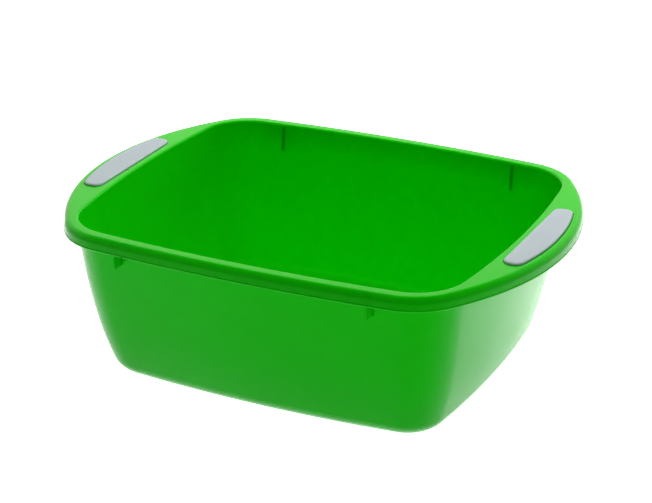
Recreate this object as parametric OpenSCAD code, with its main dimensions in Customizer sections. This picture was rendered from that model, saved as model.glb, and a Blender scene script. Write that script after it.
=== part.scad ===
// Washing up bowl: a one-piece moulded basin whose rim widens into a handle at each end,
// with a soft grip let into the top of each handle.
// Origin: middle of the base, on the surface that the bowl stands on. +X runs to a handle, +Z up.

/* [Basin] */
// Height of the flat rim above the table
bowl_h = 137.5; // [120:0.5:160]
// Half length of the mouth, at the middle of each end
mouth_half_l = 173; // [165:0.5:178]
// Half width of the mouth, at the middle of each side
mouth_half_w = 144; // [134:0.5:146]
// Bulge of the mouth's ends beyond a straight line
mouth_end_bulge = 13; // [6:0.5:18]
// Bulge of the mouth's sides beyond a straight line
mouth_side_bulge = 10.5; // [6:0.5:14]
// Corner radius of the mouth
mouth_corner_r = 42; // [34:0.5:50]
// Half length of the wall's outside, carried down to the table
foot_half_l = 147.5; // [138:0.5:156]
// Half width of the wall's outside, carried down to the table
foot_half_w = 120; // [112:0.5:128]
// Bulge of the ends at the table
foot_end_bulge = 8.2; // [5:0.1:12]
// Bulge of the sides at the table
foot_side_bulge = 9.2; // [5:0.1:12]
// Corner radius at the table
foot_corner_r = 30; // [24:0.5:36]
// How far the walls bow outwards between table and rim
wall_bow = 0.77; // [0.2:0.01:0.9]
// How much of that bow sits low down
wall_bow_low = 0.22; // [0:0.01:0.3]

/* [Moulding] */
// Wall thickness
wall = 2; // [1.6:0.1:2.6]
// Thickness of the floor
floor_t = 2.4; // [1.8:0.1:3]
// Outside radius of the bottom edge
bottom_r = 12.5; // [9:0.5:15]
// Radius of the mouth's edge, where the wall turns into the rim
mouth_edge_r = 1.6; // [0.8:0.1:2]
// Fillet under the rim, where it leaves the wall
under_fillet = 1.8; // [1:0.1:2]
// Width of the foot ring
foot_ring_w = 4; // [3:0.5:6]
// Height that the middle of the base is raised above the foot ring
foot_ring_h = 1; // [0.6:0.1:1.5]
// Radius of the dimple that the mould's gate leaves in the middle of the base
gate_r = 7; // [5:0.5:12]
// Depth of that dimple
gate_depth = 0.5; // [0.3:0.1:0.8]
// Radius of the pip in it
pip_r = 1.4; // [1:0.1:2]

/* [Rim] */
// Half length over the handles
rim_half_l = 210; // [208:0.5:216]
// Half width over the sides of the rim
rim_half_w = 156.5; // [156:0.5:162]
// Radius of the handle's outer edge, seen from above
handle_arc_r = 215; // [205:1:240]
// Half angle of that edge, before it runs straight to the corner
handle_arc_a = 33; // [30:0.5:35]
// Corner radius of the rim
rim_corner_r = 55; // [50:0.5:60]
// Bulge of the rim's long sides
rim_side_bulge = 14.5; // [12:0.5:16]
// Radius over which the rim turns down into its skirt
rim_roll_r = 5.5; // [4:0.1:6]
// Depth of the skirt below the top of the rim
skirt_h = 11.5; // [10:0.5:16]
// Thickness of the skirt
skirt_t = 2; // [1.6:0.1:2.4]
// How far the bead along the skirt's bottom edge stands out
bead_out = 0.4; // [0.2:0.1:0.6]
// Height of that bead
bead_h = 1.3; // [1:0.1:2]

/* [Stacking ribs] */
// Distance of each rib from the middle of the long side
rib_x = 109; // [90:1:115]
// Thickness of a rib
rib_t = 1.8; // [1.2:0.1:2.4]
// Height of a rib, down from the top of the rim
rib_h = 24; // [18:0.5:34]
// Distance of a rib's free edge from the middle of the bowl
rib_y = 150.5; // [148:0.5:151]
// Radius of a rib's lower outer corner
rib_corner_r = 1.2; // [0.6:0.1:2]

/* [Grips] */
// Distance of a grip's straight side from the middle of the bowl
grip_in_x = 178.8; // [178:0.1:181]
// Distance of the middle of a grip's curved side from the middle of the bowl
grip_out_x = 202.3; // [198:0.1:202.6]
// Length of a grip
grip_l = 118.6; // [90:0.5:122]
// Corner radius of a grip, seen from above
grip_corner_r = 7; // [5:0.5:8]
// How far a grip stands above the rim
grip_rise = 2; // [1:0.1:3]
// Radius of a grip's top edge
grip_edge_r = 1.5; // [0.8:0.1:2]
// Depth of the pocket that a grip sits in
pocket_d = 1.2; // [0.8:0.1:1.6]
// Gap between a grip and its pocket's wall
pocket_gap = 0.5; // [0.3:0.05:0.6]
// Distance between the pegs that hold a grip
peg_pitch = 42; // [30:1:44]
// Radius of a peg
peg_r = 2.5; // [2:0.1:3]
// Radius of a peg's head, under the rim
peg_head_r = 3.8; // [3.3:0.1:4.5]
// Thickness of a peg's head
peg_head_t = 1.5; // [1:0.1:2]

/* [Hidden] */
bowl_green = "limegreen";
grip_grey = "lightsteelblue";
// Steps along a quadrant of an outline: handle arc, straight flank, corner, long side
end_steps = 6;
flank_steps = 2;
corner_steps = 8;
side_steps = 5;
// Steps round a rolled edge, and up the wall
roll_steps = 5;
edge_steps = 3;
wall_steps = 9;
// Facets of a peg, a peg hole and the gate mark, which are true rounds
round_facets = 32;
// Depth to which one form runs into the next, so that they join
bite = 1;
// Levels of the moulding
floor_z = foot_ring_h + floor_t;
skirt_z = bowl_h - skirt_h;
wall_top_z = bowl_h - wall - under_fillet;
// Inside radii of the bottom edge and of the rolled edge
inner_r = bottom_r - wall;
under_r = rim_roll_r - skirt_t;
// Middle of a grip between its two long sides, where its pegs stand
peg_x = (grip_in_x + grip_out_x) / 2;
peg_count = 3;
// A grip's curved side runs parallel to the handle's outer edge
grip_arc_r = handle_arc_r - (rim_half_l - grip_out_x);
// Underside of the thickened rim below a pocket, and its margin round the grip
boss_z = bowl_h - pocket_d - wall;
boss_margin = 1.5;

// Basin outlines: half length, half width, end bulge, side bulge, corner radius,
// and which of the five grow when an outline is moved outwards
mouth = [mouth_half_l, mouth_half_w, mouth_end_bulge, mouth_side_bulge, mouth_corner_r];
foot = [foot_half_l, foot_half_w, foot_end_bulge, foot_side_bulge, foot_corner_r];
all_round = [1, 1, 0, 0, 1];

// Radius of an arc that rises by bulge over half its chord
function arc_radius(half, bulge) = (half * half + bulge * bulge) / (2 * bulge);

// Point at angle t on a circle
function polar(c, r, t) = c + r * [cos(t), sin(t)];

// Points along an arc, without its last one
function arc(c, r, from, to, steps) =
    [for (i = [0:steps - 1]) polar(c, r, from + (to - from) * i / steps)];

// Points along a straight line, without its last one
function line(p, q, steps) = [for (i = [0:steps - 1]) p + (q - p) * i / steps];

// Whole outline from its first quadrant, which starts on +X and ends on +Y
function mirrored(q) = let (last = len(q) - 1) concat(
    [for (i = [0:last - 1]) q[i]],
    [for (i = [last:-1:1]) [-q[i].x, q[i].y]],
    [for (i = [0:last - 1]) [-q[i].x, -q[i].y]],
    [for (i = [last:-1:1]) [q[i].x, -q[i].y]]);

// Centre of the corner arc that touches an end arc and a side arc, both from inside
function corner_centre(end_c, end_r, side_c, side_r, r) =
    let (
        span = norm(side_c - end_c),
        along = (side_c - end_c) / span,
        across = [along.y, -along.x],
        u = (span * span + pow(end_r - r, 2) - pow(side_r - r, 2)) / (2 * span),
        v = sqrt(pow(end_r - r, 2) - u * u),
        one = end_c + along * u + across * v,
        two = end_c + along * u - across * v
    )
    one.x + one.y > two.x + two.y ? one : two;

// Outline of the basin: bulging ends and sides, and round corners
function basin(o) =
    let (
        end_r = arc_radius(o[1], o[2]),
        side_r = arc_radius(o[0], o[3]),
        end_c = [o[0] - end_r, 0],
        side_c = [0, o[1] - side_r],
        c = corner_centre(end_c, end_r, side_c, side_r, o[4]),
        end_a = atan2(c.y - end_c.y, c.x - end_c.x),
        side_a = atan2(c.y - side_c.y, c.x - side_c.x)
    )
    mirrored(concat(
        arc(end_c, end_r, 0, end_a, end_steps + flank_steps),
        arc(c, o[4], end_a, side_a, corner_steps),
        arc(side_c, side_r, side_a, 90, side_steps),
        [[0, o[1]]]));

// Outline of the rim, moved outwards by out: an arc round each handle, a straight flank,
// a round corner, and a bulging side
function rim(out) =
    let (
        end_r = handle_arc_r + out,
        side_r = arc_radius(rim_half_l, rim_side_bulge) + out,
        r = rim_corner_r + out,
        end_c = [rim_half_l - handle_arc_r, 0],
        side_c = [0, rim_half_w + out - side_r],
        facing = polar([0, 0], 1, handle_arc_a),
        side_a = handle_arc_a + acos((end_r - r + (end_c - side_c) * facing) / (side_r - r)),
        c = polar(side_c, side_r - r, side_a)
    )
    mirrored(concat(
        arc(end_c, end_r, 0, handle_arc_a, end_steps),
        line(polar(end_c, end_r, handle_arc_a), polar(c, r, handle_arc_a), flank_steps),
        arc(c, r, handle_arc_a, side_a, corner_steps),
        arc(side_c, side_r, side_a, 90, side_steps),
        [[0, rim_half_w + out]]));

// Share of the way from the foot's outline to the mouth's, at a height
function wall_share(z) = let (t = z / bowl_h)
    t + wall_bow * t * (1 - t) + wall_bow_low * t * (1 - t) * (1 - 2 * t);

// Outside of the wall at a height, moved outwards by out
function wall_outline(z, out) = foot + (mouth + wall * all_round - foot) * wall_share(z) + out * all_round;

// An outline laid at a height
function ring(outline, z) = [for (p = outline) [p.x, p.y, z]];

// Rings of the inside: floor edge, rounded bottom, wall, rounded mouth
inside = concat(
    [for (i = [0:roll_steps]) let (t = 90 * i / roll_steps, z = floor_z + inner_r * (1 - cos(t)))
        ring(basin(wall_outline(z, -wall - inner_r * (1 - sin(t)))), z)],
    [for (i = [1:wall_steps]) let (low = floor_z + inner_r, high = bowl_h - mouth_edge_r,
        z = low + (high - low) * i / wall_steps)
        ring(basin(wall_outline(z, -wall)), z)],
    [for (i = [1:edge_steps]) let (t = 90 * i / edge_steps, z = bowl_h - mouth_edge_r * (1 - sin(t)))
        ring(basin(wall_outline(z, -wall + mouth_edge_r * (1 - cos(t)))), z)]);

// Rings of the rim: rolled edge, skirt with its bead, and back up inside the skirt
skirt = concat(
    [for (i = [0:roll_steps]) let (t = 90 * i / roll_steps)
        ring(rim(-rim_roll_r * (1 - sin(t))), bowl_h - rim_roll_r * (1 - cos(t)))],
    [ring(rim(0), skirt_z + bead_h),
     ring(rim(bead_out), skirt_z + bead_h - bead_out),
     ring(rim(bead_out), skirt_z + bead_out),
     ring(rim(0), skirt_z),
     ring(rim(-skirt_t), skirt_z)],
    [for (i = [edge_steps:-1:0]) let (t = 90 * i / edge_steps)
        ring(rim(-rim_roll_r + under_r * sin(t)), bowl_h - wall - under_r * (1 - cos(t)))]);

// Rings of the outside: fillet under the rim, wall, rounded bottom, foot ring, raised base
outside = concat(
    [for (i = [edge_steps:-1:0]) let (t = 90 * i / edge_steps, z = wall_top_z + under_fillet * sin(t))
        ring(basin(wall_outline(z, under_fillet * (1 - cos(t)))), z)],
    [for (i = [wall_steps - 1:-1:0]) let (z = bottom_r + (wall_top_z - bottom_r) * i / wall_steps)
        ring(basin(wall_outline(z, 0)), z)],
    [for (i = [roll_steps - 1:-1:0]) let (t = 90 * i / roll_steps, z = bottom_r * (1 - cos(t)))
        ring(basin(wall_outline(z, -bottom_r * (1 - sin(t)))), z)],
    [ring(basin(wall_outline(0, -bottom_r - foot_ring_w)), 0),
     ring(basin(wall_outline(0, -bottom_r - foot_ring_w - foot_ring_h)), foot_ring_h)]);

// Closed skin through rings of equal length, capped on its first and last ring
module skin(rings) {
    n = len(rings[0]);
    last = (len(rings) - 1) * n;
    points = [for (r = rings) for (p = r) p];
    sides = [for (k = [0:n:last - n]) for (i = [0:n - 1])
        let (j = (i + 1) % n)
        each [[k + i, k + n + j, k + n + i], [k + i, k + j, k + n + j]]];
    polyhedron(points, concat(sides,
        [[for (i = [n - 1:-1:0]) i]],
        [[for (i = [0:n - 1]) last + i]]));
}

// Outline of a grip at the +X end, moved outwards by out: straight side facing the mouth,
// long side along the handle's outer edge, rounded corners
function grip_outline(out) =
    let (
        r = grip_corner_r + out,
        big_r = grip_arc_r + out,
        c = [grip_out_x - grip_arc_r, 0],
        top = grip_l / 2 - grip_corner_r,
        outer = [c.x + sqrt(pow(big_r - r, 2) - top * top), top],
        inner = [grip_in_x + grip_corner_r, top],
        lean = atan2(top, outer.x - c.x)
    )
    concat(
        arc(c, big_r, -lean, lean, 2 * end_steps),
        arc(outer, r, lean, 90, edge_steps),
        [polar(outer, r, 90)],
        arc(inner, r, 90, 180, edge_steps + 1),
        [polar(inner, r, 180)],
        arc([inner.x, -inner.y], r, 180, 270, edge_steps + 1),
        [polar([inner.x, -inner.y], r, 270)],
        arc([outer.x, -outer.y], r, 270, 360 - lean, edge_steps));

// Places of the three pegs under a grip at the +X end
module at_pegs()
    for (i = [0:peg_count - 1]) translate([peg_x, (i - (peg_count - 1) / 2) * peg_pitch, 0]) children();

// Fin between the wall and the skirt, on which the next bowl in a stack rests
module stacking_rib() {
    low = bowl_h - rib_h;
    high = bowl_h - wall / 2;
    tip = [rib_y - rib_corner_r, low + rib_corner_r];
    translate([-rib_t / 2, 0, 0]) rotate([90, 0, 90]) linear_extrude(rib_t)
        polygon(concat(
            [[rib_root(high), high], [rib_root(low), low]],
            arc(tip, rib_corner_r, -90, 0, edge_steps),
            [[rib_y, tip.y], [rib_y, high]]));
}

// Where a rib's root lies at a height, just inside the wall
function rib_root(z) =
    let (o = wall_outline(z, 0), r = arc_radius(o[0], o[3]))
    o[1] - r + sqrt(r * r - rib_x * rib_x) - bite;

// Dimple in the base where the plastic enters the mould, round a pip that is flush with the base
module gate_mark() {
    translate([0, 0, foot_ring_h - bite]) difference() {
        cylinder(h = gate_depth + bite, r = gate_r, $fn = round_facets);
        translate([0, 0, bite]) cylinder(h = gate_depth + bite, r = pip_r, $fn = round_facets);
    }
}

// The moulding: basin, rim, skirt, stacking ribs, and a pocket with peg holes in each handle
module bowl() {
    color(bowl_green) difference() {
        union() {
            skin(concat(inside, skirt, outside));
            for (sx = [-1, 1], sy = [0, 1]) translate([sx * rib_x, 0, 0]) mirror([0, sy, 0]) stacking_rib();
            for (side = [0, 1]) mirror([side, 0, 0]) translate([0, 0, boss_z])
                linear_extrude(bowl_h - wall / 2 - boss_z) polygon(grip_outline(boss_margin));
        }
        for (side = [0, 1]) mirror([side, 0, 0]) {
            translate([0, 0, bowl_h - pocket_d]) linear_extrude(pocket_d + bite)
                polygon(grip_outline(pocket_gap));
            at_pegs() translate([0, 0, boss_z - bite])
                cylinder(h = wall + 2 * bite, r = peg_r, $fn = round_facets);
        }
        gate_mark();
    }
}

// Soft grip at the +X end: a pad with a rounded top edge, and pegs with wide heads below
module grip() {
    shoulder = bowl_h + grip_rise - grip_edge_r;
    skin(concat(
        [for (i = [edge_steps:-1:0]) let (t = 90 * i / edge_steps)
            ring(grip_outline(-grip_edge_r * (1 - cos(t))), shoulder + grip_edge_r * sin(t))],
        [ring(grip_outline(0), bowl_h - pocket_d)]));
    at_pegs() {
        translate([0, 0, boss_z - bite / 2])
            cylinder(h = bowl_h - boss_z + bite / 2, r = peg_r, $fn = round_facets);
        translate([0, 0, boss_z - peg_head_t])
            cylinder(h = peg_head_t, r1 = peg_head_r - peg_head_t / 2, r2 = peg_head_r, $fn = round_facets);
    }
}

module right_grip() {
    color(grip_grey) grip();
}

module left_grip() {
    color(grip_grey) mirror([1, 0, 0]) grip();
}

bowl();
left_grip();
right_grip();
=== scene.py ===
# %% [markdown]
# A washing up bowl is one injection moulding: a basin whose rim widens into a handle at each end,
# with a soft grip let into the top of each handle.
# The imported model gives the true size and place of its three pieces. This lesson dresses them: a
# moulding with rounded edges and a real wall, grips with pegs, and plastics that gather light.

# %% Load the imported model
import math

import bmesh
import bpy
from mathutils import Matrix, Vector
from mathutils.geometry import intersect_sphere_sphere_2d


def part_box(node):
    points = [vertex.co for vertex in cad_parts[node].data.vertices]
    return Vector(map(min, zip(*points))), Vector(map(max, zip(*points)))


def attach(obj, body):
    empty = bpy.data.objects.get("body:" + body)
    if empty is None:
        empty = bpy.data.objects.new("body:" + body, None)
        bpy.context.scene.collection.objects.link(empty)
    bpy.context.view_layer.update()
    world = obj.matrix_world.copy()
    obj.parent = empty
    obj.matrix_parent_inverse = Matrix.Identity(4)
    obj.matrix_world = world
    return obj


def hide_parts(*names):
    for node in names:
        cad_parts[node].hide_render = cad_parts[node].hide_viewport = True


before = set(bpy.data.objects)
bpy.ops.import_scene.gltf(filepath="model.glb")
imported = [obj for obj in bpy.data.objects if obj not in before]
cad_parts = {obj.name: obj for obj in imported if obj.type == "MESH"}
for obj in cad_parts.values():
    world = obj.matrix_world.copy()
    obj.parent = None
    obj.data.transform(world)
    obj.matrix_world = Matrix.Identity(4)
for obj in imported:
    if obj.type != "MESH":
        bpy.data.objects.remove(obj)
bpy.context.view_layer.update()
print("packed nodes:", sorted(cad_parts))

# %% [markdown]
# The camera comes first, because everything is judged through it. It stands to the front right and
# a little above, with a long lens, as a product photographer would place it. Its place was found by
# fitting the mouth, the rim and the foot to the photograph.

# %% Place the camera
MM = 0.001
CAMERA_AT = Vector((713.5, -1429.6, 791.2)) * MM
LOOKS_AT = Vector((1.5, 0, 90.2)) * MM
CAMERA_ROLL = math.radians(-0.403)
LENS_MM = 116.93
SENSOR_MM = 36

camera = bpy.data.objects.new("camera", bpy.data.cameras.new("camera"))
camera.data.lens = LENS_MM
camera.data.sensor_width = SENSOR_MM
camera.data.sensor_fit = "HORIZONTAL"
facing = (LOOKS_AT - CAMERA_AT).to_track_quat("-Z", "Y").to_matrix()
rolled = facing @ Matrix.Rotation(CAMERA_ROLL, 3, "Z")
camera.matrix_world = Matrix.Translation(CAMERA_AT) @ rolled.to_4x4()
bpy.context.scene.collection.objects.link(camera)
bpy.context.scene.camera = camera
bpy.context.scene.view_settings.view_transform = "Standard"
print("camera is", round((LOOKS_AT - CAMERA_AT).length, 3), "m from the bowl")

# %% [markdown]
# The driving sizes are those of the CAD model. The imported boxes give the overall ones, and the rest
# are the mould's own: the handles' arcs, the radius of each rounded edge, and the wall thickness.

# %% Name the sizes of the rim and its skirt
bowl_low, bowl_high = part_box("bowl")

BEAD_OUT = 0.4 * MM
RIM_Z = bowl_high.z
RIM_HALF_L = bowl_high.x - BEAD_OUT
RIM_HALF_W = bowl_high.y - BEAD_OUT
HANDLE_ARC_R = 215 * MM
HANDLE_ARC_A = math.radians(33)
RIM_CORNER_R = 55 * MM
RIM_SIDE_BULGE = 14.5 * MM
ROLL_R = 5.5 * MM
SKIRT_H = 11.5 * MM
SKIRT_T = 2 * MM
BEAD_R = 0.65 * MM
print("bowl box mm:", [round(v / MM, 1) for v in (*bowl_low, *bowl_high)])

# %% Name the sizes of the basin
WALL = 2 * MM
FLOOR_T = 2.4 * MM
BOTTOM_R = 12.5 * MM
MOUTH_EDGE_R = 1.6 * MM
UNDER_FILLET = 1.8 * MM
FOOT_RING_W = 4 * MM
FOOT_RING_H = 1 * MM
WALL_BOW = 0.77
WALL_BOW_LOW = 0.22

print("inside floor is", round((FOOT_RING_H + FLOOR_T) / MM, 1), "mm above the table")

# %% [markdown]
# Every level of the moulding is an outline made of tangent arcs, and the outline is the same in all
# four quarters. So one quarter is drawn: a single point is spun round the centre of each arc in
# turn. A quarter is written as its first point and a list of moves.

# %% Describe the moves along an outline
def arc_radius(half, bulge):
    """Radius of an arc that rises by bulge over half its chord."""
    return (half * half + bulge * bulge) / (2 * bulge)


def polar(angle):
    return Vector((math.cos(angle), math.sin(angle)))


def turn(centre, angle, steps):
    """The move round an arc."""
    return {"centre": centre, "angle": angle, "step": Vector((0, 0)), "steps": steps}


def run(way, steps):
    """The move along a straight line."""
    return {"centre": Vector((0, 0)), "angle": 0, "step": way / steps, "steps": steps}


print("a 10 mm rise over 100 mm is an arc of", round(arc_radius(100, 10)), "mm radius")

# %% Describe a quarter of each outline
END_STEPS = 10
FLANK_STEPS = 3
CORNER_STEPS = 18
SIDE_STEPS = 12


def basin_quarter(half_l, half_w, end_bulge, side_bulge, corner_r):
    """Outline of the basin: bulging ends and sides, and round corners."""
    end_r = arc_radius(half_w, end_bulge)
    side_r = arc_radius(half_l, side_bulge)
    end_c = Vector((half_l - end_r, 0))
    side_c = Vector((0, half_w - side_r))
    meets = intersect_sphere_sphere_2d(end_c, end_r - corner_r, side_c, side_r - corner_r)
    corner_c = max(meets, key=lambda point: point.x + point.y)
    end_a = math.atan2(corner_c.y - end_c.y, corner_c.x - end_c.x)
    side_a = math.atan2(corner_c.y - side_c.y, corner_c.x - side_c.x)
    return Vector((half_l, 0)), [
        turn(end_c, end_a, END_STEPS + FLANK_STEPS),
        turn(corner_c, side_a - end_a, CORNER_STEPS),
        turn(side_c, math.pi / 2 - side_a, SIDE_STEPS),
    ]


def rim_quarter(out):
    """Outline of the rim, moved outwards: handle arc, straight flank, round corner, bulging side."""
    end_r = HANDLE_ARC_R + out
    side_r = arc_radius(RIM_HALF_L, RIM_SIDE_BULGE) + out
    corner_r = RIM_CORNER_R + out
    end_c = Vector((RIM_HALF_L - HANDLE_ARC_R, 0))
    side_c = Vector((0, RIM_HALF_W + out - side_r))
    flank = polar(HANDLE_ARC_A)
    reach = end_r - corner_r + (end_c - side_c).dot(flank)
    side_a = HANDLE_ARC_A + math.acos(reach / (side_r - corner_r))
    corner_c = side_c + (side_r - corner_r) * polar(side_a)
    return Vector((RIM_HALF_L + out, 0)), [
        turn(end_c, HANDLE_ARC_A, END_STEPS),
        run(corner_c + corner_r * flank - end_c - end_r * flank, FLANK_STEPS),
        turn(corner_c, side_a - HANDLE_ARC_A, CORNER_STEPS),
        turn(side_c, math.pi / 2 - side_a, SIDE_STEPS),
    ]


print("a quarter of the rim takes", len(rim_quarter(0)[1]), "moves")

# %% [markdown]
# The basin's walls lean out and bow. At any height the outline lies between the foot's and the
# mouth's, and the share of the way is a curve with a little more bow low down.

# %% Find the wall at a height
MOUTH = [173 * MM, 144 * MM, 13 * MM, 10.5 * MM, 42 * MM]
FOOT = [147.5 * MM, 120 * MM, 8.2 * MM, 9.2 * MM, 30 * MM]
ALL_ROUND = [1, 1, 0, 0, 1]


def wall_outline(z, out):
    """Outside of the wall at a height, moved outwards: half length, half width, bulges, corner."""
    t = z / RIM_Z
    share = t + WALL_BOW * t * (1 - t) + WALL_BOW_LOW * t * (1 - t) * (1 - 2 * t)
    return [f + (m + WALL * on - f) * share + out * on for f, m, on in zip(FOOT, MOUTH, ALL_ROUND)]


def wall_quarter(z, out):
    return basin_quarter(*wall_outline(z, out))


print("wall at half height mm:", [round(v / MM, 1) for v in wall_outline(RIM_Z / 2, 0)])

# %% [markdown]
# A few small helpers do most of the modelling. One traces a quarter at a height, one bridges a row
# of traced rings into a skin, one fills a flat area and leaves its holes open, and one mirrors what
# is there and merges the seam. The last one steps round an edge, so that its rings can be traced.

# %% Trace an outline
def trace(bm, z, quarter):
    """Draws a quarter outline at a height and returns its vertices and edges in order."""
    start, moves = quarter
    verts = [bm.verts.new((start.x, start.y, z))]
    for move in moves:
        spun = bmesh.ops.spin(
            bm, geom=[verts[-1]], cent=(move["centre"].x, move["centre"].y, z), axis=(0, 0, 1),
            dvec=(move["step"].x, move["step"].y, 0), angle=move["angle"], steps=move["steps"])
        tip = next(item for item in spun["geom_last"] if isinstance(item, bmesh.types.BMVert))
        stretch = [tip]
        while stretch[-1] is not verts[-1]:
            seen = set(stretch)
            stretch.append(next(e.other_vert(stretch[-1]) for e in stretch[-1].link_edges
                                if e.other_vert(stretch[-1]) not in seen))
        verts += stretch[-2::-1]
    edges = [bm.edges.get(pair) for pair in zip(verts, verts[1:])]
    return {"verts": verts, "edges": edges}


print("traces along", END_STEPS + FLANK_STEPS + CORNER_STEPS + SIDE_STEPS, "edges a quarter")

# %% Bridge, fill and mirror
MERGE = 0.001 * MM


def skin(bm, rings):
    """Bridges each ring to the next one."""
    for lower, upper in zip(rings, rings[1:]):
        bmesh.ops.bridge_loops(bm, edges=lower["edges"] + upper["edges"])


def join(bm, first, *others):
    """Draws straight edges from point to point."""
    points = [first, *others]
    return [bm.edges.new(pair) for pair in zip(points, points[1:])]


def fill(bm, edges, up):
    """Fills the flat area inside an outline, around any holes."""
    bmesh.ops.triangle_fill(bm, edges=edges, use_beauty=True, normal=(0, 0, up))


def mirror(bm, *axes, merge=MERGE):
    """Doubles the mesh across each axis in turn, and merges it along the seam."""
    for axis in axes:
        everything = bm.verts[:] + bm.edges[:] + bm.faces[:]
        bmesh.ops.mirror(bm, geom=everything, matrix=Matrix.Identity(4), merge_dist=merge, axis=axis)


print("vertices closer than", MERGE / MM, "mm are merged")

# %% Step round an edge
ROUND_STEPS = 10
EDGE_STEPS = 6
SMALL_STEPS = 4
TINY_STEPS = 3


def rounded(count, first=0, last=90):
    """Angles that step round an edge, as pairs of cosine and sine."""
    angles = [math.radians(first + (last - first) * i / count) for i in range(count + 1)]
    return [(math.cos(a), math.sin(a)) for a in angles]


print("the largest edges are rounded in steps of", 90 / ROUND_STEPS, "degrees")

# %% [markdown]
# The moulding is one closed skin, as it must be for light to be scattered inside its wall. The
# rings are listed in the order in which a finger would follow them: up the inside, over the mouth's
# edge, out over the flat rim, round the rolled edge, round the bead, and back underneath.
# Next to each small rounding lies a support ring, which keeps the flat beside it flat to the light.

# %% Rings of the inside
SUPPORT = 0.35 * MM
WALL_STEPS = 14
FLOOR_Z = FOOT_RING_H + FLOOR_T
INNER_R = BOTTOM_R - WALL


def wall_levels(low, high):
    """Heights up a wall, with a support ring near each end."""
    low, high = low + 2 * SUPPORT, high - SUPPORT
    return [low + (high - low) * i / WALL_STEPS for i in range(WALL_STEPS + 1)]


def inside_rings(bm):
    floor_out = -WALL - INNER_R
    rings = [trace(bm, FLOOR_Z, wall_quarter(FLOOR_Z, floor_out - SUPPORT))]
    for c, s in rounded(ROUND_STEPS):
        z = FLOOR_Z + INNER_R * (1 - c)
        rings.append(trace(bm, z, wall_quarter(z, floor_out + INNER_R * s)))
    for z in wall_levels(FLOOR_Z + INNER_R, RIM_Z - MOUTH_EDGE_R):
        rings.append(trace(bm, z, wall_quarter(z, -WALL)))
    for c, s in rounded(EDGE_STEPS):
        z = RIM_Z - MOUTH_EDGE_R * (1 - s)
        rings.append(trace(bm, z, wall_quarter(z, -WALL + MOUTH_EDGE_R * (1 - c))))
    rings.append(trace(bm, RIM_Z, wall_quarter(RIM_Z, -WALL + MOUTH_EDGE_R + SUPPORT)))
    return rings


print("inner wall rises from", round((FLOOR_Z + INNER_R) / MM, 1), "mm")

# %% Rings of the rolled edge, the skirt and its bead
SKIRT_Z = RIM_Z - SKIRT_H
HEM_R = 0.4 * MM
BEAD_UNDER_R = 1.2 * MM
BEAD_STEPS = 8
BEAD_Z = SKIRT_Z + BEAD_UNDER_R


def skirt_rings(bm):
    rings = [trace(bm, RIM_Z, rim_quarter(-ROLL_R - SUPPORT))]
    for c, s in rounded(ROUND_STEPS):
        rings.append(trace(bm, RIM_Z - ROLL_R * (1 - c), rim_quarter(-ROLL_R * (1 - s))))
    rings.append(trace(bm, RIM_Z - ROLL_R - SUPPORT, rim_quarter(0)))
    bead_top = math.degrees(math.acos(1 - BEAD_OUT / BEAD_R))
    rings.append(trace(bm, BEAD_Z + BEAD_R + SUPPORT, rim_quarter(0)))
    for c, s in rounded(SMALL_STEPS, bead_top, 0):
        rings.append(trace(bm, BEAD_Z + BEAD_R * s, rim_quarter(BEAD_OUT - BEAD_R * (1 - c))))
    for c, s in rounded(BEAD_STEPS, 0, -90)[1:]:
        out = BEAD_OUT - BEAD_UNDER_R * (1 - c)
        rings.append(trace(bm, BEAD_Z + BEAD_UNDER_R * s, rim_quarter(out)))
    for c, s in rounded(TINY_STEPS):
        rings.append(trace(bm, SKIRT_Z + HEM_R * (1 - c), rim_quarter(-SKIRT_T + HEM_R * (1 - s))))
    under_r = ROLL_R - SKIRT_T
    for c, s in rounded(EDGE_STEPS, 90, 0):
        z = RIM_Z - WALL - under_r * (1 - c)
        rings.append(trace(bm, z, rim_quarter(-ROLL_R + under_r * s)))
    rings.append(trace(bm, RIM_Z - WALL, rim_quarter(-ROLL_R - SUPPORT)))
    return rings


print("skirt hangs down to", round(SKIRT_Z / MM, 1), "mm")

# %% Rings of the outside, down to the foot ring and the raised base
FOOT_EDGE_R = 0.3 * MM


def outside_rings(bm):
    under_z = RIM_Z - WALL
    rings = [trace(bm, under_z, wall_quarter(under_z, UNDER_FILLET + SUPPORT))]
    for c, s in rounded(EDGE_STEPS, 90, 0):
        z = under_z - UNDER_FILLET * (1 - s)
        rings.append(trace(bm, z, wall_quarter(z, UNDER_FILLET * (1 - c))))
    for z in reversed(wall_levels(BOTTOM_R, under_z - UNDER_FILLET)):
        rings.append(trace(bm, z, wall_quarter(z, 0)))
    for c, s in rounded(ROUND_STEPS):
        z = BOTTOM_R * (1 - s)
        rings.append(trace(bm, z, wall_quarter(z, -BOTTOM_R * (1 - c))))
    inner = -BOTTOM_R - FOOT_RING_W
    for c, s in rounded(TINY_STEPS):
        rings.append(trace(bm, FOOT_EDGE_R * (1 - c), wall_quarter(0, inner - FOOT_EDGE_R * s)))
    for c, s in rounded(TINY_STEPS):
        out = inner - 2 * FOOT_EDGE_R - FOOT_EDGE_R * (1 - c)
        rings.append(trace(bm, FOOT_RING_H - FOOT_EDGE_R * (1 - s), wall_quarter(0, out)))
    rings.append(trace(bm, FOOT_RING_H, wall_quarter(0, inner - 3 * FOOT_EDGE_R - SUPPORT)))
    return rings


print("outer wall rises from", round(BOTTOM_R / MM, 1), "mm")

# %% [markdown]
# A grip is a slim D seen from above: straight towards the mouth, curved with the handle's edge, and
# round at its corners. Its half outline serves the grip itself, the pocket that it lies in and the
# thickened underside below, each moved outwards by its own amount.

# %% Name the sizes of the grips, their pockets and pegs
grip_low, grip_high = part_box("right_grip")

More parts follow.
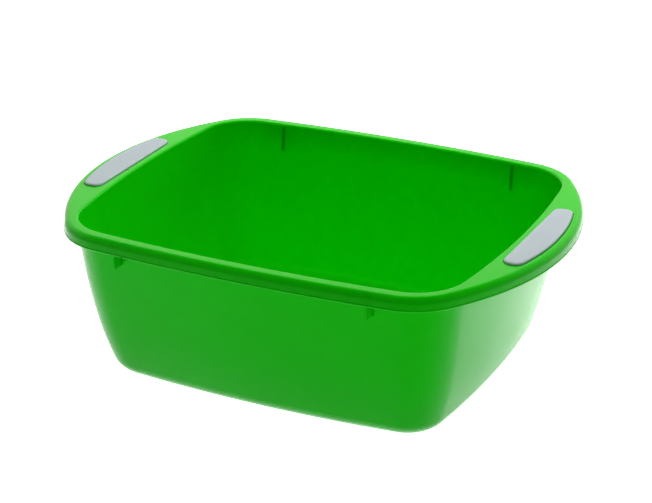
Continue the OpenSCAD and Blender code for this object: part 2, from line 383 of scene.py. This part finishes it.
GRIP_IN_X = grip_low.x
GRIP_OUT_X = grip_high.x
GRIP_TOP_Z = grip_high.z
GRIP_HALF_L = grip_high.y
GRIP_CORNER_R = 7 * MM
GRIP_ARC_R = HANDLE_ARC_R - (RIM_HALF_L - GRIP_OUT_X)
GRIP_EDGE_R = 1.5 * MM
POCKET_Z = RIM_Z - 1.2 * MM
POCKET_GAP = 0.5 * MM
BOSS_Z = POCKET_Z - WALL
BOSS_MARGIN = 1.5 * MM
PEG_X = (GRIP_IN_X + GRIP_OUT_X) / 2
PEG_PITCH = 42 * MM
PEG_R = 2.5 * MM
PEG_HEAD_R = 3.8 * MM
PEG_HEAD_T = 1.5 * MM
print("grip box mm:", [round(v / MM, 1) for v in (*grip_low, *grip_high)])

# %% Describe half of the grip's outline and a peg's
GRIP_ARC_STEPS = 16
GRIP_CORNER_STEPS = 8
GRIP_STRAIGHT_STEPS = 6
PEG_STEPS = 12


def grip_half(out):
    corner_r = GRIP_CORNER_R + out
    arc_r = GRIP_ARC_R + out
    arc_c = Vector((GRIP_OUT_X - GRIP_ARC_R, 0))
    top = GRIP_HALF_L - GRIP_CORNER_R
    outer_c = Vector((arc_c.x + math.sqrt((arc_r - corner_r) ** 2 - top ** 2), top))
    inner_c = Vector((GRIP_IN_X + GRIP_CORNER_R, top))
    lean = math.atan2(top, outer_c.x - arc_c.x)
    return Vector((GRIP_OUT_X + out, 0)), [
        turn(arc_c, lean, GRIP_ARC_STEPS),
        turn(outer_c, math.pi / 2 - lean, GRIP_CORNER_STEPS),
        run(inner_c - outer_c, 1),
        turn(inner_c, math.pi / 2, GRIP_CORNER_STEPS),
        run(Vector((0, -top)), GRIP_STRAIGHT_STEPS),
    ]


def middle_peg(r):
    """Half a circle round the middle peg, from the handle's edge towards the mouth."""
    return Vector((PEG_X + r, 0)), [turn(Vector((PEG_X, 0)), math.pi, PEG_STEPS)]


def outer_peg(r):
    """The circle round the outer peg, as two half turns."""
    centre = Vector((PEG_X, PEG_PITCH))
    return centre + Vector((r, 0)), [turn(centre, math.pi, PEG_STEPS)] * 2


def peg_rings(bm, z, r):
    """The middle peg's half circle, and the outer peg's whole one, at a height."""
    whole = trace(bm, z, outer_peg(r))["verts"]
    last = whole.pop()
    bmesh.ops.weld_verts(bm, targetmap={last: whole[0]})
    edges = [bm.edges.get(pair) for pair in zip(whole, whole[1:] + whole[:1])]
    return {"middle": trace(bm, z, middle_peg(r)), "outer": {"verts": whole, "edges": edges}}


print("pegs are", PEG_PITCH / MM, "mm apart")

# %% [markdown]
# The flat top of the rim runs round the pocket, and the flat underside runs round the thickened
# boss. Both are filled between their outlines. The pocket's floor has three peg holes that go
# through to the boss, so they are bridged from one to the other.

# %% Rings of the pocket and the boss
POCKET_EDGE_R = 0.4 * MM
BOSS_EDGE_R = 0.4 * MM


def pocket_rings(bm):
    rings = [trace(bm, RIM_Z, grip_half(POCKET_GAP + POCKET_EDGE_R + SUPPORT))]
    for c, s in rounded(SMALL_STEPS):
        z = RIM_Z - POCKET_EDGE_R * (1 - c)
        rings.append(trace(bm, z, grip_half(POCKET_GAP + POCKET_EDGE_R * (1 - s))))
    rings.append(trace(bm, POCKET_Z, grip_half(POCKET_GAP)))
    return rings


def boss_rings(bm):
    rings = [trace(bm, RIM_Z - WALL, grip_half(BOSS_MARGIN))]
    for c, s in rounded(SMALL_STEPS):
        z = BOSS_Z + BOSS_EDGE_R * (1 - s)
        rings.append(trace(bm, z, grip_half(BOSS_MARGIN - BOSS_EDGE_R * (1 - c))))
    return rings


print("boss reaches down to", round(BOSS_Z / MM, 1), "mm")

# %% Fill the flats round the pocket, the boss and the pegs
def fill_round(bm, inner, outer, hole, up):
    """Fills a flat quarter between two outlines, around the half outline of a pocket or boss."""
    mouth_side, edge_side = hole["verts"][-1], hole["verts"][0]
    seams = join(bm, inner["verts"][0], mouth_side) + join(bm, edge_side, outer["verts"][0])
    seams += join(bm, inner["verts"][-1], outer["verts"][-1])
    fill(bm, inner["edges"] + outer["edges"] + hole["edges"] + seams, up)


def fill_around_pegs(bm, outline, pegs, up):
    """Fills the flat half inside a grip's outline, around the peg holes."""
    seams = join(bm, outline["verts"][0], pegs["middle"]["verts"][0])
    seams += join(bm, outline["verts"][-1], pegs["middle"]["verts"][-1])
    fill(bm, outline["edges"] + pegs["middle"]["edges"] + pegs["outer"]["edges"] + seams, up)


print("pocket floor is", round((POCKET_Z - BOSS_Z) / MM, 1), "mm thick")

# %% [markdown]
# Where the molten plastic enters the mould, in the middle of the base, it leaves a small dimple with
# a pip in it. It is what the underside of such a moulding has.

# %% Rings of the gate mark
GATE_R = 7 * MM
GATE_DEPTH = 0.5 * MM
GATE_EDGE = 0.2 * MM
GATE_STEPS = 8
PIP_R = 1.4 * MM
PIP_H = 0.7 * MM


def gate_ring(bm, r, z):
    return trace(bm, z, (Vector((r, 0)), [turn(Vector((0, 0)), math.pi / 2, GATE_STEPS)]))


def gate_rings(bm):
    """From the base up into the dimple, across it, and down the pip, which tapers."""
    top = FOOT_RING_H + GATE_DEPTH
    tip = top - PIP_H
    places = [
        (GATE_R + SUPPORT, FOOT_RING_H), (GATE_R, FOOT_RING_H),
        (GATE_R - GATE_EDGE, FOOT_RING_H + GATE_EDGE), (GATE_R - 1.5 * GATE_EDGE, top),
        (PIP_R + GATE_EDGE, top), (PIP_R, top - GATE_EDGE),
        (0.9 * PIP_R, tip + GATE_EDGE), (0.7 * PIP_R, tip),
    ]
    return [gate_ring(bm, r, z) for r, z in places]


print("pip ends", round((FOOT_RING_H + GATE_DEPTH - PIP_H) / MM, 1), "mm above the table")

# %% Close the floor and the base
def close_quarter(bm, ring, up):
    """Fills the flat quarter inside a ring, with a point on the axis."""
    middle = bm.verts.new((0, 0, ring["verts"][0].co.z))
    seams = join(bm, ring["verts"][0], middle, ring["verts"][-1])
    fill(bm, ring["edges"] + seams, up)


def close_between(bm, ring, hole, up):
    """Fills the flat quarter between a ring and a smaller one inside it."""
    seams = join(bm, ring["verts"][0], hole["verts"][0]) + join(bm, ring["verts"][-1], hole["verts"][-1])
    fill(bm, ring["edges"] + hole["edges"] + seams, up)


print("base is", round(FOOT_RING_H / MM, 1), "mm above the table")

# %% Make a piece of a mesh
def finish_piece(bm, name, node, smooth=True):
    """Makes an object of a mesh, with its faces outwards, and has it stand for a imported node."""
    bmesh.ops.remove_doubles(bm, verts=bm.verts[:], dist=MERGE)
    bmesh.ops.recalc_face_normals(bm, faces=bm.faces[:])
    open_edges = sum(1 for edge in bm.edges if len(edge.link_faces) != 2)
    for face in bm.faces:
        face.smooth = smooth
    mesh = bpy.data.meshes.new(name)
    bm.to_mesh(mesh)
    bm.free()
    piece = bpy.data.objects.new(name, mesh)
    bpy.context.scene.collection.objects.link(piece)
    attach(piece, "root")
    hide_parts(node)
    print(name, "has", len(mesh.polygons), "faces and", open_edges, "open edges")
    return piece


print("pieces can stand for", ", ".join(sorted(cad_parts)))

# %% Put the moulding together
def model_shell():
    bm = bmesh.new()
    inside, skirt, outside = inside_rings(bm), skirt_rings(bm), outside_rings(bm)
    pocket, boss, gate = pocket_rings(bm), boss_rings(bm), gate_rings(bm)
    pocket_pegs = peg_rings(bm, POCKET_Z, PEG_R)
    boss_pegs = peg_rings(bm, BOSS_Z, PEG_R)
    for rings in (inside, skirt, outside, pocket, boss, gate):
        skin(bm, rings)
    for which in ("middle", "outer"):
        skin(bm, [pocket_pegs[which], boss_pegs[which]])
    close_quarter(bm, inside[0], 1)
    fill_round(bm, inside[-1], skirt[0], pocket[0], 1)
    fill_around_pegs(bm, pocket[-1], pocket_pegs, 1)
    fill_round(bm, outside[0], skirt[-1], boss[0], -1)
    fill_around_pegs(bm, boss[-1], boss_pegs, -1)
    close_between(bm, outside[-1], gate[0], -1)
    close_quarter(bm, gate[-1], -1)
    mirror(bm, "X", "Y")
    return bm


shell = finish_piece(model_shell(), "bowl_shell", "bowl")

# %% [markdown]
# Four fins stand between the wall and the skirt, two on each long side. When bowls are stacked, they
# keep the next one from wedging. They belong to the same moulding. Here they are a piece of their
# own whose roots lie inside the wall, so that the shell stays one simple skin.

# %% Find where a rib starts
RIB_X = 109 * MM
RIB_T = 1.8 * MM
RIB_H = 24 * MM
RIB_Y = 150.5 * MM
RIB_CORNER_R = 1.2 * MM
RIB_EDGE_R = 0.3 * MM
RIB_BITE = 1 * MM


def rib_root(z):
    """Where a rib starts at a height, just inside the wall's skin."""
    half_l, half_w, _, side_bulge, _ = wall_outline(z, 0)
    side_r = arc_radius(half_l, side_bulge)
    return half_w - side_r + math.sqrt(side_r ** 2 - RIB_X ** 2) - RIB_BITE


rib_reach = RIB_Y - rib_root(RIM_Z - RIB_H) - RIB_BITE
print("at their lower edge the ribs stand out", round(rib_reach / MM, 1), "mm")

# %% Model the stacking ribs
RIB_CORNER_STEPS = 4
RIB_ROOT_STEPS = 4
RIB_EDGE_STEPS = 3


def model_ribs():
    bm = bmesh.new()
    high, low = RIM_Z - WALL / 2, RIM_Z - RIB_H
    side = RIB_X - RIB_T / 2
    corner = (side, RIB_Y - RIB_CORNER_R, low + RIB_CORNER_R)
    tip = bm.verts.new((side, corner[1], low))
    spun = bmesh.ops.spin(
        bm, geom=[tip], cent=corner, axis=(1, 0, 0), angle=math.pi / 2, steps=RIB_CORNER_STEPS)
    end = next(item for item in spun["geom_last"] if isinstance(item, bmesh.types.BMVert))
    roots = [low + (high - low) * i / RIB_ROOT_STEPS for i in range(RIB_ROOT_STEPS + 1)]
    back = [bm.verts.new((side, rib_root(z), z)) for z in roots]
    top = bm.verts.new((side, RIB_Y, high))
    join(bm, tip, *back, top, end)
    outline = bmesh.ops.contextual_create(bm, geom=bm.edges[:])["faces"]
    thick = bmesh.ops.extrude_face_region(bm, geom=outline)
    moved = [item for item in thick["geom"] if isinstance(item, bmesh.types.BMVert)]
    bmesh.ops.translate(bm, verts=moved, vec=(RIB_T, 0, 0))
    bmesh.ops.recalc_face_normals(bm, faces=bm.faces[:])
    rims = [edge for edge in bm.edges if abs(edge.verts[0].co.x - edge.verts[1].co.x) < RIB_T / 2]
    bmesh.ops.bevel(
        bm, geom=rims, offset=RIB_EDGE_R, segments=RIB_EDGE_STEPS, affect="EDGES", profile=0.5, material=-1)
    mirror(bm, "X", "Y", merge=-1)
    return bm


ribs = finish_piece(model_ribs(), "stacking_ribs", "bowl", smooth=False)

# %% [markdown]
# The grips are moulded from a soft rubber-like plastic. Each is a pad with well rounded edges and a
# slight crown, and three pegs below whose heads hold it in the handle.

# %% Rings of a grip and its pegs
CROWN = 0.25 * MM
GRIP_INSETS = [2.2 * MM, 3.6 * MM, 5.2 * MM, 6.8 * MM]
PEG_EDGE = 0.4 * MM


def pad_rings(bm):
    """From the pad's underside up its side, round its edge and over its crown."""
    shoulder = GRIP_TOP_Z - CROWN - GRIP_EDGE_R
    rings = [trace(bm, POCKET_Z, grip_half(-HEM_R)), trace(bm, POCKET_Z + HEM_R, grip_half(0))]
    for c, s in rounded(EDGE_STEPS):
        rings.append(trace(bm, shoulder + GRIP_EDGE_R * s, grip_half(-GRIP_EDGE_R * (1 - c))))
    widest = GRIP_INSETS[-1]
    for inset in GRIP_INSETS:
        rise = CROWN * (1 - ((widest - inset) / widest) ** 2)
        rings.append(trace(bm, GRIP_TOP_Z - CROWN + rise, grip_half(-inset)))
    return rings


def headed_peg_rings(bm):
    """From the pad's underside down each peg, out to its head and round the head."""
    head_low = BOSS_Z - PEG_HEAD_T
    places = [
        (PEG_R, POCKET_Z), (PEG_R, BOSS_Z),
        (PEG_HEAD_R - PEG_EDGE, BOSS_Z), (PEG_HEAD_R, BOSS_Z - PEG_EDGE),
        (PEG_HEAD_R - PEG_EDGE, head_low + PEG_EDGE), (PEG_HEAD_R - 2.5 * PEG_EDGE, head_low),
    ]
    return [peg_rings(bm, z, r) for r, z in places]


print("peg heads end", round((BOSS_Z - PEG_HEAD_T) / MM, 1), "mm above the table")

# %% Put the grips together
def model_grip():
    bm = bmesh.new()
    rings = pad_rings(bm)
    skin(bm, rings)
    seam = join(bm, rings[-1]["verts"][0], rings[-1]["verts"][-1])
    fill(bm, rings[-1]["edges"] + seam, 1)
    pegs = headed_peg_rings(bm)
    for which in ("middle", "outer"):
        skin(bm, [ring[which] for ring in pegs])
    fill_around_pegs(bm, rings[0], pegs[0], -1)
    middle = pegs[-1]["middle"]
    fill(bm, middle["edges"] + join(bm, middle["verts"][0], middle["verts"][-1]), -1)
    fill(bm, pegs[-1]["outer"]["edges"], -1)
    mirror(bm, "Y")
    return bm


def left_handed(bm):
    bmesh.ops.scale(bm, verts=bm.verts[:], vec=(-1, 1, 1))
    return bm


right_grip = finish_piece(model_grip(), "right_grip_pad", "right_grip")
left_grip = finish_piece(left_handed(model_grip()), "left_grip_pad", "left_grip")

# %% [markdown]
# Both plastics share two effects: a very fine grain, which the mould's polished steel leaves on
# them, and faint marks from handling, which change the gloss and not the colour. Each effect is a
# node group with its own inputs, built once. First come the helpers that add groups, nodes and sums.
# A Mix node has sockets of the same name for each kind of value, so they are found by their places.

# %% Name the helpers for nodes
MIX_FACTOR = 0
MIX_FLOAT_A = 2
MIX_FLOAT_B = 3
MIX_COLOUR_A = 6
MIX_COLOUR_B = 7
MIX_COLOUR_OUT = 2


def new_group(name, inputs, outputs):
    tree = bpy.data.node_groups.new(name, "ShaderNodeTree")
    for label, value in inputs.items():
        socket = tree.interface.new_socket(label, in_out="INPUT", socket_type="NodeSocketFloat")
        socket.default_value = value
    for label in outputs:
        tree.interface.new_socket(label, in_out="OUTPUT", socket_type="NodeSocketFloat")
    return tree, tree.nodes.new("NodeGroupInput"), tree.nodes.new("NodeGroupOutput")


def add(tree, kind, **settings):
    """Adds a node. A setting names an attribute, or an input when it is written with a capital."""
    node = tree.nodes.new(kind)
    for key, value in settings.items():
        if key[0].isupper():
            node.inputs[key.replace("_", " ")].default_value = value
        else:
            setattr(node, key, value)
    return node


def calc(tree, operation, *values):
    """A Math node on numbers and other nodes' outputs."""
    node = add(tree, "ShaderNodeMath", operation=operation)
    for socket, value in zip(node.inputs, values):
        if isinstance(value, (int, float)):
            socket.default_value = value
        else:
            tree.links.new(value, socket)
    return node.outputs[0]


print("node groups so far:", len(bpy.data.node_groups))

# %% Build the moulded grain
def moulded_grain():
    """Height of a fine grain over a slow waviness of the surface."""
    inputs = {"Grain Scale": 2500.0, "Wave Scale": 45.0, "Wave Share": 0.5}
    tree, given, out = new_group("moulded_grain", inputs, ["Height"])
    place = add(tree, "ShaderNodeTexCoord")
    fine = add(tree, "ShaderNodeTexNoise", Detail=2.0, Roughness=0.5)
    wave = add(tree, "ShaderNodeTexNoise", Detail=1.0, Roughness=0.4)
    mix = add(tree, "ShaderNodeMix", data_type="FLOAT")
    tree.links.new(place.outputs["Object"], fine.inputs["Vector"])
    tree.links.new(place.outputs["Object"], wave.inputs["Vector"])
    tree.links.new(given.outputs["Grain Scale"], fine.inputs["Scale"])
    tree.links.new(given.outputs["Wave Scale"], wave.inputs["Scale"])
    tree.links.new(given.outputs["Wave Share"], mix.inputs[MIX_FACTOR])
    tree.links.new(fine.outputs[0], mix.inputs[MIX_FLOAT_A])
    tree.links.new(wave.outputs[0], mix.inputs[MIX_FLOAT_B])
    tree.links.new(mix.outputs[0], out.inputs["Height"])
    return tree


GRAIN = moulded_grain()
print(GRAIN.name, "has the sockets", [socket.name for socket in GRAIN.interface.items_tree])

# %% Build the handling marks
MARKS_FAINT = 0.15
MARKS_STRONG = 0.42


def handling_marks():
    """Roughness that wanders a little, with faint long scuffs."""
    inputs = {"Low": 0.2, "High": 0.3, "Scale": 18.0}
    tree, given, out = new_group("handling_marks", inputs, ["Roughness"])
    place = add(tree, "ShaderNodeTexCoord")
    stretch = add(tree, "ShaderNodeMapping", Scale=(1.0, 7.0, 3.0), Rotation=(0.3, 0.2, 0.5))
    cloud = add(tree, "ShaderNodeTexNoise", Detail=3.0, Roughness=0.55)
    scuff = add(tree, "ShaderNodeTexNoise", Detail=5.0, Roughness=0.7)
    span = add(tree, "ShaderNodeMapRange", From_Min=MARKS_FAINT, From_Max=MARKS_STRONG)
    tree.links.new(place.outputs["Object"], cloud.inputs["Vector"])
    tree.links.new(place.outputs["Object"], stretch.inputs["Vector"])
    tree.links.new(stretch.outputs[0], scuff.inputs["Vector"])
    tree.links.new(given.outputs["Scale"], cloud.inputs["Scale"])
    tree.links.new(given.outputs["Scale"], scuff.inputs["Scale"])
    tree.links.new(calc(tree, "MULTIPLY", cloud.outputs[0], scuff.outputs[0]), span.inputs["Value"])
    tree.links.new(given.outputs["Low"], span.inputs["To Min"])
    tree.links.new(given.outputs["High"], span.inputs["To Max"])
    tree.links.new(span.outputs["Result"], out.inputs["Roughness"])
    return tree


MARKS = handling_marks()
print(MARKS.name, "has the sockets", [socket.name for socket in MARKS.interface.items_tree])

# %% [markdown]
# Both plastics are made in one way: a colour that drifts a little, a gloss that wanders, and the
# grain as a bump. So one function makes them, and each then gets its own gloss and scattering.

# %% Make a moulded plastic
def colour_drift(tree, one, two, scale):
    """A slow drift between two close shades, as pigment is never spread quite evenly."""
    place = add(tree, "ShaderNodeTexCoord")
    cloud = add(tree, "ShaderNodeTexNoise", Scale=scale, Detail=2.0)
    mix = add(tree, "ShaderNodeMix", data_type="RGBA")
    mix.inputs[MIX_COLOUR_A].default_value = one
    mix.inputs[MIX_COLOUR_B].default_value = two
    tree.links.new(place.outputs["Object"], cloud.inputs["Vector"])
    tree.links.new(cloud.outputs[0], mix.inputs[MIX_FACTOR])
    return mix.outputs[MIX_COLOUR_OUT]


def use_group(tree, group, **values):
    node = add(tree, "ShaderNodeGroup", node_tree=group)
    for key, value in values.items():
        node.inputs[key.replace("_", " ")].default_value = value
    return node


def plastic(name, shades, drift_scale, grain, marks, bump_mm, bump_strength):
    """A moulded plastic: drifting colour, wandering gloss and fine grain, ready for its own gloss."""
    material = bpy.data.materials.new(name)
    material.use_nodes = True
    tree = material.node_tree
    shader = tree.nodes["Principled BSDF"]
    tree.links.new(colour_drift(tree, *shades, drift_scale), shader.inputs["Base Color"])
    tree.links.new(use_group(tree, MARKS, **marks).outputs[0], shader.inputs["Roughness"])
    bump = add(tree, "ShaderNodeBump", Strength=bump_strength, Distance=bump_mm * MM)
    tree.links.new(use_group(tree, GRAIN, **grain).outputs[0], bump.inputs["Height"])
    tree.links.new(bump.outputs[0], shader.inputs["Normal"])
    return material, shader


print("each plastic uses", GRAIN.name, "and", MARKS.name)

# %% [markdown]
# Coloured polypropylene isn't opaque. At 2 mm it lets a good part of the green light through, so the
# far wall glows where the light behind reaches it and stays darker behind the skirt. Random walk
# scattering in the closed wall does this. The pigment also tints the gloss seen head on, while gloss
# at a glancing angle stays white.

# %% Make the green plastic
GREEN = (0.011, 0.735, 0.003, 1)
GREEN_DEEP = (0.009, 0.70, 0.002, 1)

green, green_shader = plastic(
    "green_polypropylene", shades=(GREEN, GREEN_DEEP), drift_scale=14.0,
    grain={"Grain_Scale": 2200.0, "Wave_Scale": 40.0, "Wave_Share": 0.7},
    marks={"Low": 0.16, "High": 0.26, "Scale": 16.0}, bump_mm=0.02, bump_strength=0.25)
green_shader.inputs["IOR"].default_value = 1.49
green_shader.inputs["Specular Tint"].default_value = (0.02, 1.0, 0.02, 1)
green_shader.inputs["Subsurface Weight"].default_value = 1.0
green_shader.inputs["Subsurface Radius"].default_value = (0.25, 1.0, 0.15)
green_shader.inputs["Subsurface Scale"].default_value = 4.0 * MM
print(green.name, "is made")

# %% [markdown]
# Behind a rib the wall has no free outside to take in light, so on the inside of the bowl each rib
# shows as a dark upright mark. The scattering is too soft to show it, so it is a mask made of the
# distance from the rib's plane, the height above the rib's lower edge and the wall's own place. The
# mask shades the green's base colour.

# %% Shade the wall behind the ribs
RIB_SHADE = (0.008, 0.50, 0.002, 1)
MARK_HALF = 0.5 * MM
MARK_FADE = 1.8 * MM


def fade(tree, value, start, stop):
    """0 below the start, 1 above the stop, and smooth between them; the other way round if swapped."""
    low, high = min(start, stop), max(start, stop)
    node = add(tree, "ShaderNodeMapRange", interpolation_type="SMOOTHSTEP", From_Min=low, From_Max=high,
               To_Min=float(start > stop), To_Max=float(start < stop))
    tree.links.new(value, node.inputs["Value"])
    return node.outputs["Result"]


tree = green.node_tree
place = add(tree, "ShaderNodeTexCoord")
split = add(tree, "ShaderNodeSeparateXYZ")
tree.links.new(place.outputs["Object"], split.inputs[0])
from_rib = calc(tree, "ABSOLUTE", calc(tree, "SUBTRACT", calc(tree, "ABSOLUTE", split.outputs["X"]), RIB_X))
across = fade(tree, from_rib, MARK_HALF + MARK_FADE, MARK_HALF)
above = fade(tree, split.outputs["Z"], RIM_Z - RIB_H - MARK_FADE, RIM_Z - RIB_H + MARK_FADE)
below = fade(tree, split.outputs["Z"], RIM_Z - WALL, RIM_Z - WALL - MARK_FADE)
wall_y = rib_root(RIM_Z - RIB_H / 2) + RIB_BITE
inside = fade(tree, calc(tree, "ABSOLUTE", split.outputs["Y"]), wall_y + MARK_FADE, wall_y)
mark = calc(tree, "MULTIPLY", calc(tree, "MULTIPLY", across, above), calc(tree, "MULTIPLY", below, inside))
shaded = add(tree, "ShaderNodeMix", data_type="RGBA")
shaded.inputs[MIX_COLOUR_B].default_value = RIB_SHADE
unshaded = green_shader.inputs["Base Color"].links[0].from_socket
tree.links.new(mark, shaded.inputs[MIX_FACTOR])
tree.links.new(unshaded, shaded.inputs[MIX_COLOUR_A])
tree.links.new(shaded.outputs[MIX_COLOUR_OUT], green_shader.inputs["Base Color"])
print("rib marks are", round(2 * (MARK_HALF + MARK_FADE) / MM, 1), "mm wide")

# %% [markdown]
# The grips are a soft, matt elastomer. It is paler and rougher than the moulding, and light goes only
# a little way into it.

# %% Make the grey of the grips
GREY = (0.60, 0.69, 0.75, 1)
GREY_PALE = (0.63, 0.71, 0.77, 1)

grey, grey_shader = plastic(
    "grey_elastomer", shades=(GREY, GREY_PALE), drift_scale=60.0,
    grain={"Grain_Scale": 1600.0, "Wave_Scale": 300.0, "Wave_Share": 0.2},
    marks={"Low": 0.42, "High": 0.55, "Scale": 40.0}, bump_mm=0.06, bump_strength=0.5)
grey_shader.inputs["IOR"].default_value = 1.48
grey_shader.inputs["Subsurface Weight"].default_value = 0.15
grey_shader.inputs["Subsurface Radius"].default_value = (1.0, 1.0, 1.0)
grey_shader.inputs["Subsurface Scale"].default_value = 1.0 * MM
print(grey.name, "is made")

# %% Give each piece its plastic
for piece, material in ((shell, green), (ribs, green), (right_grip, grey), (left_grip, grey)):
    piece.data.materials.append(material)
print("materials:", [m.name for m in bpy.data.materials])

# %% [markdown]
# The bowl stands on a light table: a matte white sheet that glows a little of its own and so lights
# the walls from below. For the camera and for reflections it glows more, so that the background
# comes out white without more light on the bowl. It still takes the bowl's shadow. It lies a hair
# below the foot ring, so that the two flat faces don't fight.

# %% Lay the light table
FLOOR_HALF = 4.0
FLOOR_BELOW = 0.02 * MM

floor_mesh = bmesh.new()
bmesh.ops.create_grid(floor_mesh, x_segments=1, y_segments=1, size=FLOOR_HALF)
floor = bpy.data.objects.new("floor", bpy.data.meshes.new("floor"))
floor_mesh.to_mesh(floor.data)
floor_mesh.free()
bpy.context.scene.collection.objects.link(floor)
floor.location.z = -FLOOR_BELOW
print("light table is", 2 * FLOOR_HALF, "m wide")

# %% Make the sheet glow
TABLE_WHITE = 0.86
TABLE_GLOW = 0.24
SEEN_GLOW = 1.0


def seen_or_mirrored(tree):
    """1 for camera rays and for rays that a glossy surface sends out, else 0."""
    path = add(tree, "ShaderNodeLightPath")
    return calc(tree, "MAXIMUM", path.outputs["Is Camera Ray"], path.outputs["Is Glossy Ray"])


sheet = bpy.data.materials.new("light_table")
sheet.use_nodes = True
tree = sheet.node_tree
tree.nodes.clear()
matte = add(tree, "ShaderNodeBsdfDiffuse", Color=(TABLE_WHITE, TABLE_WHITE, TABLE_WHITE, 1))
glow = add(tree, "ShaderNodeEmission", Color=(1, 1, 1, 1))
both = add(tree, "ShaderNodeAddShader")
surface = add(tree, "ShaderNodeOutputMaterial")
extra = calc(tree, "MULTIPLY", seen_or_mirrored(tree), SEEN_GLOW - TABLE_GLOW)
tree.links.new(calc(tree, "ADD", extra, TABLE_GLOW), glow.inputs["Strength"])
tree.links.new(matte.outputs[0], both.inputs[0])
tree.links.new(glow.outputs[0], both.inputs[1])
tree.links.new(both.outputs[0], surface.inputs["Surface"])
floor.data.materials.append(sheet)
print("it glows", TABLE_GLOW, "onto the bowl, and", SEEN_GLOW, "where it is seen or mirrored")

# %% [markdown]
# The camera sees a white room. In reflections the room has a bright backdrop, which fades between 37
# and 62 degrees up into a dark ceiling. So the flat rim has a pale gloss, and the rolled edge, which
# tips towards the ceiling, has none. The room itself gives the bowl hardly any light.

# %% Set up the room
ROOM = 0.03
CEILING_FROM = 0.6
CEILING_FULL = 0.88
BACKDROP_TINT = (1.0, 1.0, 0.8, 1)

world = bpy.data.worlds.new("studio")
bpy.context.scene.world = world
world.use_nodes = True
tree = world.node_tree
way = add(tree, "ShaderNodeTexCoord")
split = add(tree, "ShaderNodeSeparateXYZ")
backdrop = add(tree, "ShaderNodeMapRange", interpolation_type="SMOOTHSTEP", From_Min=CEILING_FROM,
               From_Max=CEILING_FULL, To_Min=1.0, To_Max=0.0)
path = add(tree, "ShaderNodeLightPath")
tint = add(tree, "ShaderNodeMix", data_type="RGBA")
tint.inputs[MIX_COLOUR_A].default_value = BACKDROP_TINT
tint.inputs[MIX_COLOUR_B].default_value = (1, 1, 1, 1)
room = tree.nodes["Background"]
tree.links.new(way.outputs["Generated"], split.inputs[0])
tree.links.new(split.outputs["Z"], backdrop.inputs["Value"])
tree.links.new(path.outputs["Is Camera Ray"], tint.inputs[MIX_FACTOR])
tree.links.new(tint.outputs[MIX_COLOUR_OUT], room.inputs["Color"])
mirrored = calc(tree, "MULTIPLY", path.outputs["Is Glossy Ray"], backdrop.outputs["Result"])
seen = calc(tree, "MAXIMUM", path.outputs["Is Camera Ray"], mirrored)
tree.links.new(calc(tree, "MAXIMUM", seen, ROOM), room.inputs["Strength"])
print("ceiling is dark above", round(math.degrees(math.asin(CEILING_FULL))), "degrees")

# %% [markdown]
# A soft lamp hangs above and a little behind, and another stands low behind. The low one shines
# through the far wall and onto the near wall's inside. The skirt faces the camera, away from both,
# and gets little. Neither lamp shows in reflections.

# %% Hang the lamps
LAMPS = {
    "softbox_above": {"at": Vector((0.0, 0.35, 1.36)), "watts": 11.0, "size": 0.8},
    "softbox_behind": {"at": Vector((0.0, 1.2, 0.6)), "watts": 8.8, "size": 0.8},
}
LAMPS_FACE = Vector((0, 0, 0.1))

for name, given in LAMPS.items():
    lamp = bpy.data.objects.new(name, bpy.data.lights.new(name, "AREA"))
    lamp.data.energy = given["watts"]
    lamp.data.size = given["size"]
    lamp.location = given["at"]
    lamp.rotation_euler = (LAMPS_FACE - given["at"]).to_track_quat("-Z", "Y").to_euler()
    lamp.visible_glossy = False
    bpy.context.scene.collection.objects.link(lamp)
    print(name, "is", round(given["at"].length, 2), "m away")
